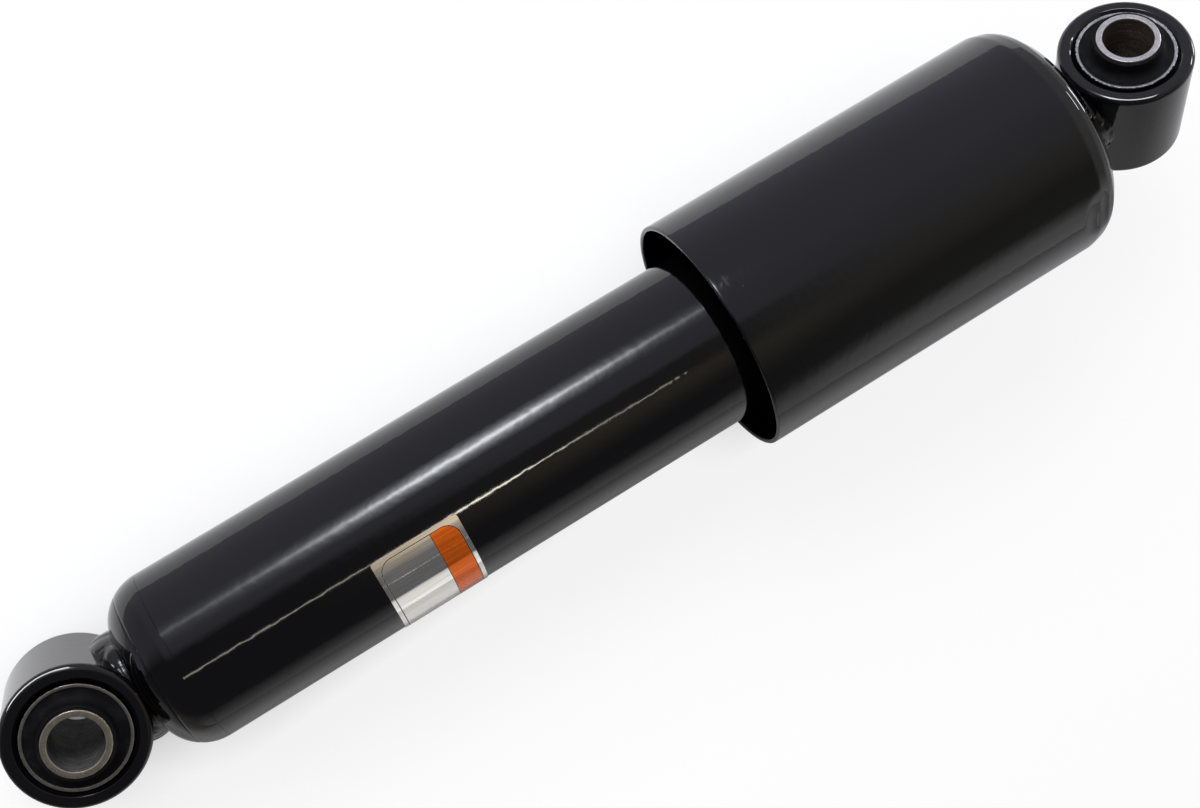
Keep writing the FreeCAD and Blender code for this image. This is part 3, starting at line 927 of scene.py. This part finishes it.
# %% Label outline
label_start = math.radians(3.0)
label_wrap = math.radians(150.0)
label_length = label_high.x - label_low.x
foil_thickness = 0.2 * mm
glue_gap = 0.02 * mm
label_radius = body_radius + foil_thickness
label_under = body_radius + glue_gap
label_round = label_wrap * label_radius
label_corner = 0.9 * mm
corner_steps = 8
label_rows = 120


def label_inset(down):
    """How far the rounded corners pull the label's sides in, this far from its start or end."""
    near = min(down, label_round - down)
    if near >= label_corner:
        return 0.0
    return label_corner - math.sqrt(label_corner ** 2 - (label_corner - near) ** 2)


def label_rings():
    """Places down the label, closer together in its rounded corners."""
    places = [label_corner * step / corner_steps for step in range(corner_steps + 1)]
    inner = label_round - 2 * label_corner
    places += [label_corner + inner * step / label_rows for step in range(1, label_rows)]
    places += [label_round - place for place in places[corner_steps::-1]]
    return places


print("rows of points down the label:", len(label_rings()))

# %% Label sheet
label_columns = 24
label_edge = 0.05 * mm


def add_skins(shape, top, under):
    """Faces of both skins and of the edge between them."""
    for skin in (top, under):
        for row, following in zip(skin, skin[1:]):
            for column in range(label_columns):
                shape.faces.new((row[column], row[column + 1], following[column + 1], following[column]))
    for upper, lower in ((top[0], under[0]), (top[-1], under[-1])):
        for column in range(label_columns):
            shape.faces.new((upper[column], upper[column + 1], lower[column + 1], lower[column]))
    for column in (0, -1):
        for row in range(len(top) - 1):
            above = (top[row][column], top[row + 1][column])
            below = (under[row + 1][column], under[row][column])
            shape.faces.new(above + below)


def label_sheet():
    """Two skins and an edge: the top skin is a little smaller, which eases the edge."""
    shape = bmesh.new()
    uv = shape.loops.layers.uv.new("label_mm")
    flat = {}
    skins = []
    for out, ease in ((label_radius, label_edge), (label_under, 0.0)):
        skin = []
        for down in label_rings():
            inset = label_inset(down) + ease
            eased = min(max(down, ease), label_round - ease)
            angle = label_start - eased / label_radius
            row = []
            for column in range(label_columns + 1):
                along = inset + (label_length - 2 * inset) * column / label_columns
                spot = shape.verts.new((label_low.x + along, out * math.sin(angle), out * math.cos(angle)))
                flat[spot] = (along / mm, down / mm)
                row.append(spot)
            skin.append(row)
        skins.append(skin)
    add_skins(shape, *skins)
    for face in shape.faces:
        for loop in face.loops:
            loop[uv].uv = flat[loop.vert]
    return keep_mesh("body_label", shape)


body_label = label_sheet()
print("label", round(label_length / mm, 1), "x", round(label_round / mm, 1), "mm")

# %% [markdown]
# ## Foil and its print
# Rolled foil is finely streaked along the roll, and a wrapped foil is never quite round: it lies in
# faint flats along the tube, which break its reflection into lines. Both are bumps that change round
# the tube and hardly along it. The frame line is the border of a box with round corners, and the
# panel is the part of that box past a straight line. Ink lies over the foil, so it is less metallic.

# %% Frame line and panel
frame_inset = 1.2
frame_corner = 3.6
frame_line = 0.16
panel_start = 15.3
panel_line = (0.05, 0.14)
print_edge = 0.06
label_half = (label_length / mm / 2, label_round / mm / 2)
frame_half = [half - frame_inset for half in label_half]


def box_distance(tree, flat, centre, half, corner):
    """Distance to the edge of a box with round corners: below 0 inside, above 0 outside."""
    offset = vector_maths(tree, "SUBTRACT", flat, centre)
    offset = vector_maths(tree, "ABSOLUTE", offset)
    over = vector_maths(tree, "SUBTRACT", offset, (half[0] - corner, half[1] - corner, 0))
    outside = length_of(tree, vector_maths(tree, "MAXIMUM", over))
    nearer = maths(tree, "MAXIMUM", axis_of(tree, over, "X"), axis_of(tree, over, "Y"))
    inside = maths(tree, "MINIMUM", nearer, 0.0)
    return maths(tree, "SUBTRACT", maths(tree, "ADD", outside, inside), corner)


def label_print(tree, flat):
    """How much of the panel's ink and of the lines' ink lies on each place of the label."""
    reach = box_distance(tree, flat, (*label_half, 0), frame_half, frame_corner)
    framed = spread(tree, maths(tree, "ABSOLUTE", reach), (frame_line / 2, frame_line), falling)
    along = axis_of(tree, flat, "X")
    past = spread(tree, along, (panel_start, panel_start + print_edge), rising)
    within = spread(tree, reach, (-print_edge, 0.0), falling)
    from_panel = maths(tree, "ABSOLUTE", maths(tree, "SUBTRACT", along, panel_start))
    border = maths(tree, "MULTIPLY", spread(tree, from_panel, panel_line, falling), within)
    panel = maths(tree, "MULTIPLY", past, within)
    line = maths(tree, "MAXIMUM", framed, border)
    return panel, line


print("the frame line is", frame_inset, "mm inside the label's edge")

# %% Foil finish
roll_stretch = (0.03, 1.0, 1.0)
streak_size = 0.35
streak_depth = 0.006 * mm
streak_span = (0.3, 0.7)
streak_rough_span = (0.2, 0.8)
flats_size = 2.4
flats_depth = 0.12 * mm
foil_roughness = (0.05, 0.15)
ink_cover = 0.4
foil_tones = ((0.82, 0.79, 0.73, 1), (0.95, 0.93, 0.89, 1))
orange_tones = ((0.62, 0.1, 0.006, 1), (0.88, 0.17, 0.01, 1))
line_tone = (0.02, 0.015, 0.012, 1)


def foil():
    """Streaked foil under a printed panel and lines, on the label's own map in millimetres."""
    finish, tree, shader = new_finish("foil_label")[:3]
    flat = node(tree, "ShaderNodeUVMap", uv_map="label_mm").outputs["UV"]
    panel, line = label_print(tree, flat)
    stretched = vector_maths(tree, "MULTIPLY", flat, roll_stretch)
    brushed = noise(tree, stretched, streak_size, detail=3.0)
    grain = spread(tree, brushed, streak_span, rising)
    tone = blend(tree, panel, blend(tree, grain, *foil_tones), blend(tree, grain, *orange_tones))
    tone = blend(tree, line, tone, line_tone)
    printed = maths(tree, "MAXIMUM", maths(tree, "MULTIPLY", panel, ink_cover), line)
    metal = maths(tree, "SUBTRACT", 1.0, printed)
    rough = spread(tree, brushed, streak_rough_span, foil_roughness)
    lie = bump(tree, noise(tree, stretched, flats_size, detail=0.0), flats_depth)
    streaks = bump(tree, brushed, streak_depth, lie)
    connect(tree, shader, Base_Color=tone, Metallic=metal, Roughness=rough, Normal=streaks)
    return finish


dress(body_label, "label_foil", "cylinder", foil())
print("label printed")

# %% [markdown]
# ## Finishes inside
# The rod, the valve piston and the seals are real solids inside the tube. They show only when someone
# takes the damper apart or looks up the cover's mouth, and still get what their metal or rubber would
# have: tool rings round a turned face, pores in the bearing, a moulded grain. Their solids are right
# as they are, so only their finish is set.

# %% Turned metal, bearing, plastic
lathe_stretch = (1, 0.02, 0.02)
tool_size = 0.3 * mm
tool_span = (0.25, 0.75)
tool_depth = 0.004 * mm
stain_size = 6 * mm
stain_span = (0.35, 0.75)


def turned_metal(name, tone, worn, roughness):
    """Metal from the lathe: fine rings round the rod's axis, and slow stains."""
    finish, tree, shader, where = new_finish(name)
    tool = noise(tree, vector_maths(tree, "MULTIPLY", where, lathe_stretch), tool_size)
    stain = noise(tree, where, stain_size, detail=4.0)
    colour = blend(tree, spread(tree, stain, stain_span, rising), tone, worn)
    rough = spread(tree, tool, tool_span, roughness)
    shader.inputs["Metallic"].default_value = 1.0
    connect(tree, shader, Base_Color=colour, Roughness=rough, Normal=bump(tree, tool, tool_depth))
    return finish


metal_looks = {
    "hard_chrome": ((0.8, 0.8, 0.82, 1), (0.74, 0.75, 0.77, 1), (0.06, 0.12)),
    "machined_steel": ((0.5, 0.5, 0.52, 1), (0.4, 0.4, 0.41, 1), (0.28, 0.42)),
    "machined_alloy": ((0.68, 0.68, 0.7, 1), (0.58, 0.58, 0.6, 1), (0.3, 0.45)),
    "bearing_bronze": ((0.55, 0.4, 0.22, 1), (0.42, 0.29, 0.15, 1), (0.35, 0.55)),
}
soft_looks = {
    "seal_rubber": ((0.02, 0.02, 0.02, 1), (0.03, 0.03, 0.03, 1), 0.35),
    "band_plastic": ((0.2, 0.13, 0.08, 1), (0.16, 0.1, 0.06, 1), 0.4),
    "wiper_plastic": ((0.022, 0.022, 0.024, 1), (0.03, 0.03, 0.032, 1), 0.38),
}
inner_finishes = {name: turned_metal(name, *look) for name, look in metal_looks.items()}
inner_finishes.update({name: soft_rubber(name, *look) for name, look in soft_looks.items()})
finished = 0
for subpart in frame["record"]["subparts"]:
    if subpart["material_slot"] in inner_finishes:
        solid = frame["nodes"][subpart["node"]]
        for material_slot in solid.material_slots:
            material_slot.material = inner_finishes[subpart["material_slot"]]
        finished += 1
print("inner solids finished:", finished)

# %% [markdown]
# ## The floor
# The damper lies on a pale sheet, on its cover's rim and the shoulder of its rounded end, so the sheet
# leans a few degrees against the rod. The flattest line from the rim to the shoulder gives the lean.
# Its brightness comes from its own pale colour under the lamps, with white of its own for the camera
# and a little for mirrors; near the damper that white fades, so the shadow stays. For mirrors and
# bounced light the colour also carries painted shadow: greyer on the near side and past the lower
# eye's end. Gloss paint mirrors the place where the sheet stops, so it stops where the dark band along
# the damper begins. A wider ground, which only the camera sees, carries the sheet on to all sides.

# %% Floor
shoulder_points = [shoulder_point(degrees) for degrees in range(quarter_turn + 1)]
floor_slope = -min((cover_radius - point.y) / (cover_low.x - point.x) for point in shoulder_points)
floor_gap = 0.05 * mm
floor_corners = ((-0.75, -0.9), (1.0, -0.9), (1.0, 0.26), (0.155, 0.0765), (-0.75, 0.0))


def floor_height(along):
    """How high the sheet is, this far along the rod."""
    return (along - cover_low.x) * floor_slope - cover_radius - floor_gap


def lay_sheet(name, corners, drop):
    """A flat sheet under the damper, with the floor's lean."""
    mesh = bpy.data.meshes.new(name)
    points = [(along, across, floor_height(along) - drop) for along, across in corners]
    mesh.from_pydata(points, [], [range(len(corners))])
    sheet = bpy.data.objects.new(name, mesh)
    scene.collection.objects.link(sheet)
    return sheet


ground_reach = 6.0
ground_drop = 0.03 * mm
ground_corners = (
    (-ground_reach, -ground_reach),
    (ground_reach, -ground_reach),
    (ground_reach, ground_reach),
    (-ground_reach, ground_reach),
)
floor = lay_sheet("floor", floor_corners, 0.0)
ground = lay_sheet("ground", ground_corners, ground_drop)
ground.visible_glossy = False
ground.visible_transmission = False
ground.visible_diffuse = False
ground.visible_shadow = False
print("floor leans", round(math.degrees(math.atan(floor_slope)), 2), "degrees")

# %% Pale sheet
contact_reach = 22 * mm
camera_white = 0.85
mirror_white = 0.08
pure_white = (1, 1, 1, 1)
sheet_white = (0.84, 0.84, 0.84, 1)
# Painted shadow: greyer tones for the sheet's near side and for the part past the lower eye's end.
side_painted_shadow = (0.6, 0.6, 0.6, 1)
end_painted_shadow = (0.28, 0.28, 0.28, 1)
side_shadow_span = (-0.03, 0.03)
end_shadow_span = (-0.09, -0.01)
sheet_roughness = 0.9
sheet_specular = 0.1


def white_share(tree, path):
    """How much white a ray gets: one share for the camera, less near the damper, one for mirrors."""
    mirrored = maths(tree, "MAXIMUM", path.outputs["Is Glossy Ray"], path.outputs["Is Transmission Ray"])
    clear = node(tree, "ShaderNodeAmbientOcclusion", {"Distance": contact_reach}).outputs["AO"]
    straight = maths(tree, "MULTIPLY", path.outputs["Is Camera Ray"], camera_white)
    straight = maths(tree, "MULTIPLY", straight, clear)
    return maths(tree, "ADD", straight, maths(tree, "MULTIPLY", mirrored, mirror_white))


def pale_sheet():
    """A pale matte sheet, with painted shadow that makes it greyer in mirrors towards its near side and its
    end.
    """
    finish, tree, shader, where = new_finish("pale_sheet")
    path = node(tree, "ShaderNodeLightPath")
    # Painted shadow: every ray but the camera's sees the sheet greyer on its near side and past the lower
    # eye's end.
    near_side_shadow = spread(tree, axis_of(tree, where, "Y"), side_shadow_span, falling)
    far_end_shadow = spread(tree, axis_of(tree, where, "X"), end_shadow_span, falling)
    tone = blend(tree, far_end_shadow, blend(tree, near_side_shadow, sheet_white, side_painted_shadow), end_painted_shadow)
    tone = blend(tree, path.outputs["Is Camera Ray"], tone, sheet_white)
    connect(tree, shader, Base_Color=tone)
    shader.inputs["Roughness"].default_value = sheet_roughness
    shader.inputs["Specular IOR Level"].default_value = sheet_specular
    glow = node(tree, "ShaderNodeEmission", {"Color": pure_white, "Strength": 1.0})
    layers = {0: white_share(tree, path), 1: shader.outputs[0], 2: glow.outputs[0]}
    mixed = node(tree, "ShaderNodeMixShader", layers)
    tree.links.new(mixed.outputs[0], tree.nodes["Material Output"].inputs["Surface"])
    return finish


pale = pale_sheet()
for sheet in (floor, ground):
    sheet.data.materials.append(pale)
print("finish:", pale.name)

# %% [markdown]
# ## The studio
# Black gloss shows nothing but the room, so the room is the picture. Above the damper it is dark,
# where the photographer stands; one side is a wide pale screen and the other a low white wall. The
# world can hold that: the angle round the rod goes through a colour ramp. A lamp above and one beside
# light the matte pieces and the sheet, and are kept out of mirrors. Four lamps are meant to be
# mirrored: a soft one for the long streak, a thin one for the fine line below it, and two small ones
# for the bends of the cover's rounded end.

# %% Tones of the room
screen = (0.54, 0.53, 0.63, 1)
screen_edge = (0.46, 0.45, 0.53, 1)
dark = (0.11, 0.11, 0.12, 1)
dim = (0.18, 0.175, 0.165, 1)
haze = (0.4, 0.34, 0.27, 1)
low_haze = (0.32, 0.28, 0.24, 1)
pale_haze = (0.41, 0.4, 0.41, 1)
wall_edge = (0.4, 0.4, 0.4, 1)
wall = (0.62, 0.62, 0.62, 1)
far_wall = (0.78, 0.78, 0.79, 1)
full_turn = 360


def room_ramp(tree, position, stops):
    """A ramp whose stops are angles round the rod, from straight up towards the screen."""
    ramp = node(tree, "ShaderNodeValToRGB", {"Fac": position})
    for degrees, colour in stops:
        stop = ramp.color_ramp.elements.new((degrees + full_turn / 2) / full_turn)
        stop.color = colour
    ramp.color_ramp.elements.remove(ramp.color_ramp.elements[0])
    ramp.color_ramp.elements.remove(ramp.color_ramp.elements[-1])
    return ramp.outputs["Color"]


print("the room's tones go from", dark[0], "to", far_wall[0])

# %% World
straight_up = 0.5
near_to_middle = (-0.044, 0.148)
middle_to_far = (0.202, 0.362)
far_to_wall = (0.555, 0.93)
left_to_near = (-0.5, -0.25)
world = bpy.data.worlds.new("studio")
scene.world = world
world.use_nodes = True
sky = world.node_tree
direction = node(sky, "ShaderNodeTexCoord").outputs["Generated"]
parts = node(sky, "ShaderNodeSeparateXYZ", {"Vector": direction})
round_rod = maths(sky, "ARCTAN2", parts.outputs["Y"], parts.outputs["Z"])
position = maths(sky, "ADD", maths(sky, "DIVIDE", round_rod, math.tau), straight_up)
left = room_ramp(sky, position, [
    (-179, low_haze), (-84, low_haze), (-66, dark), (20, dark), (44, screen_edge), (179, screen_edge)])
near = room_ramp(sky, position, [
    (-179, wall), (-90, wall), (-79, wall_edge), (-68, dark), (16, dark), (25, screen_edge), (36, screen),
    (179, screen)])
middle = room_ramp(sky, position, [
    (-179, wall), (-88, wall), (-77, wall_edge), (-68, dark), (-46, dark), (-36, dim), (-26, low_haze),
    (-16, haze), (-6, dim), (8, dim), (14, screen_edge), (40, screen), (179, screen)])
far = room_ramp(sky, position, [
    (-179, wall), (-88, far_wall), (-77, far_wall), (-67, wall_edge), (-61, dim), (-36, dim), (-22, low_haze),
    (2, pale_haze), (25, screen_edge), (45, screen), (179, screen)])
along_rod = parts.outputs["X"]
room = blend(sky, spread(sky, along_rod, near_to_middle, rising), near, middle)
room = blend(sky, spread(sky, along_rod, middle_to_far, rising), room, far)
room = blend(sky, spread(sky, along_rod, far_to_wall, rising), room, wall)
room = blend(sky, spread(sky, along_rod, left_to_near, rising), left, room)
sky_path = node(sky, "ShaderNodeLightPath")
seen = blend(sky, sky_path.outputs["Is Camera Ray"], room, pure_white)
sky.links.new(seen, sky.nodes["Background"].inputs["Color"])
print("world: the angle round the rod sets the room's tone")

# %% Lamp helper
rod_way = Vector((1, 0, 0))
cross_way = Vector((0, 1, 0))
white_power = 4


def area_lamp(name, place, aim, long_side, short_side, brightness, long_way=rod_way, mirrored=True):
    """A rectangular lamp with its long side along this direction; brightness 1 looks white."""
    data = bpy.data.lights.new(name, "AREA")
    data.shape = "RECTANGLE"
    data.size = long_side
    data.size_y = short_side
    data.energy = white_power * long_side * short_side * brightness
    lamp = bpy.data.objects.new(name, data)
    away = (Vector(place) - Vector(aim)).normalized()
    across = away.cross(long_way).normalized()
    along = across.cross(away)
    lamp.matrix_world = Matrix.Translation(place) @ Matrix((along, across, away)).transposed().to_4x4()
    scene.collection.objects.link(lamp)
    lamp.visible_camera = False
    lamp.visible_glossy = mirrored
    return lamp


print("brightness 1 takes", white_power, "watts for each square metre of lamp")

# %% Soft lamps
core_half = 0.09
core_share = 0.75
halo_half = 0.28
halo_share = 0.45
lamp_middle = 0.5


def bell(tree, value, peak, half):
    """A smooth rise to 1 at the peak, and down again."""
    away = maths(tree, "DIVIDE", maths(tree, "SUBTRACT", value, peak), half)
    return maths(tree, "EXPONENT", maths(tree, "MULTIPLY", maths(tree, "MULTIPLY", away, away), -1.0))


def fade(lamp, peak, half, steady_share):
    """Softens a lamp: a bright core and a halo across it, and a bell along it on a steady share."""
    lamp.data.use_nodes = True
    tree = lamp.data.node_tree
    spot = node(tree, "ShaderNodeNewGeometry").outputs["Parametric"]
    over = axis_of(tree, spot, "Y")
    core = maths(tree, "MULTIPLY", bell(tree, over, lamp_middle, core_half), core_share)
    halo = maths(tree, "MULTIPLY", bell(tree, over, lamp_middle, halo_half), halo_share)
    along = maths(tree, "ADD", bell(tree, axis_of(tree, spot, "X"), peak, half), steady_share)
    glow = maths(tree, "MULTIPLY", maths(tree, "ADD", core, halo), along)
    tree.links.new(glow, tree.nodes["Emission"].inputs["Strength"])


print("a soft lamp's halo is", round(halo_half / core_half, 1), "times as wide as its core")

# %% Lamps over the damper
cool_white = (0.93, 0.96, 1)
warm_white = (1, 0.95, 0.8)
rod_middle = (0.11, 0, 0)
cover_corner = (0.277, 0.011, 0.028)
streak_lamp = area_lamp(
    "streak_lamp", place=(0.167, 0.752, 0.66), aim=(0.167, 0, 0),
    long_side=0.524, short_side=0.5, brightness=12.0)
streak_lamp.data.color = cool_white
fade(streak_lamp, peak=0.56, half=0.23, steady_share=0.08)
line_lamp = area_lamp(
    "line_lamp", place=(0.101, -0.174, 0.979), aim=(0.101, 0, 0),
    long_side=0.524, short_side=0.06, brightness=24.0)
line_lamp.data.color = warm_white
fade(line_lamp, peak=0.66, half=0.1, steady_share=0.25)
area_lamp(
    "side_lamp", place=(0.1, 0.9, 0.75), aim=rod_middle,
    long_side=1.0, short_side=0.6, brightness=6.5, mirrored=False)
area_lamp(
    "top_lamp", place=(0.1, -0.15, 1.2), aim=rod_middle,
    long_side=1.4, short_side=1.2, brightness=0.4, mirrored=False)
area_lamp(
    "corner_high", place=(1.193, 0.243, 0.356), aim=cover_corner,
    long_side=0.26, short_side=0.08, brightness=14.0, long_way=cross_way)
area_lamp(
    "corner_low", place=(1.272, 0.11, 0.013), aim=cover_corner,
    long_side=0.26, short_side=0.11, brightness=14.0, long_way=cross_way)

# %% [markdown]
# ## Lines of light
# A rounded rim mirrors a whole arc of the room in a line a fraction of a millimetre wide. Two long
# lamps draw those lines, one for each eye. A photographer would hide such a lamp from the rest of the
# object with a black flag, and here light linking does that: each of them reaches one eye alone, and
# the thin lamp reaches the body but not the foil, where it would glare. The foil has three lamps of
# its own: a warm one for its upper half, a white one for its lower half and a line between them.

# %% Rim lamps
lower_rim = Vector((0, 0.0155, 0.0144))
upper_rim = Vector((0.2956, 0.001, 0.0194))
lower_way = Vector((0.97, 0.18, 0.16))
upper_way = Vector((0.829, -0.451, 0.332))


def flag(lamp, pieces):
    """Keeps a lamp's light to these pieces."""
    lit = bpy.data.collections.new(lamp.name + "_lit")
    for piece in pieces:
        lit.objects.link(piece)
    lamp.light_linking.receiver_collection = lit


lower_rim_lamp = area_lamp(
    "lower_rim_lamp", place=(-0.242, 0.903, 0.418), aim=lower_rim,
    long_side=1.4, short_side=0.3, brightness=16.0, long_way=lower_way)
upper_rim_lamp = area_lamp(
    "upper_rim_lamp", place=(0.309, 0.555, 0.851), aim=upper_rim,
    long_side=0.7, short_side=0.3, brightness=14.0, long_way=upper_way)
flag(lower_rim_lamp, [eyes["lower"]])
flag(upper_rim_lamp, [eyes["upper"]])
flag(line_lamp, [body_tube, base_end])
print("one eye each:", lower_rim_lamp.name, upper_rim_lamp.name)

# %% Lamps of the foil
foil_middle = (0.09, -0.01, 0.018)
amber = (1, 0.81, 0.56)
foil_warm = area_lamp(
    "foil_warm", place=(0.113, -0.1, 0.6), aim=foil_middle,
    long_side=0.5, short_side=0.55, brightness=0.45)
foil_warm.data.color = amber
fade(foil_warm, peak=0.8, half=0.35, steady_share=0.3)
foil_white = area_lamp(
    "foil_white", place=(0.113, -0.6, 0.03), aim=foil_middle,
    long_side=0.5, short_side=0.44, brightness=0.28)
foil_line = area_lamp(
    "foil_line", place=(0.113, -0.434, 0.442), aim=foil_middle,
    long_side=0.5, short_side=0.012, brightness=1.6)
fade(foil_line, peak=0.75, half=0.3, steady_share=0.2)
for lamp in (foil_warm, foil_white, foil_line):
    flag(lamp, [body_label])
print("the foil alone:", foil_warm.name, foil_white.name, foil_line.name)

# %% [markdown]

# %% Import json
import json
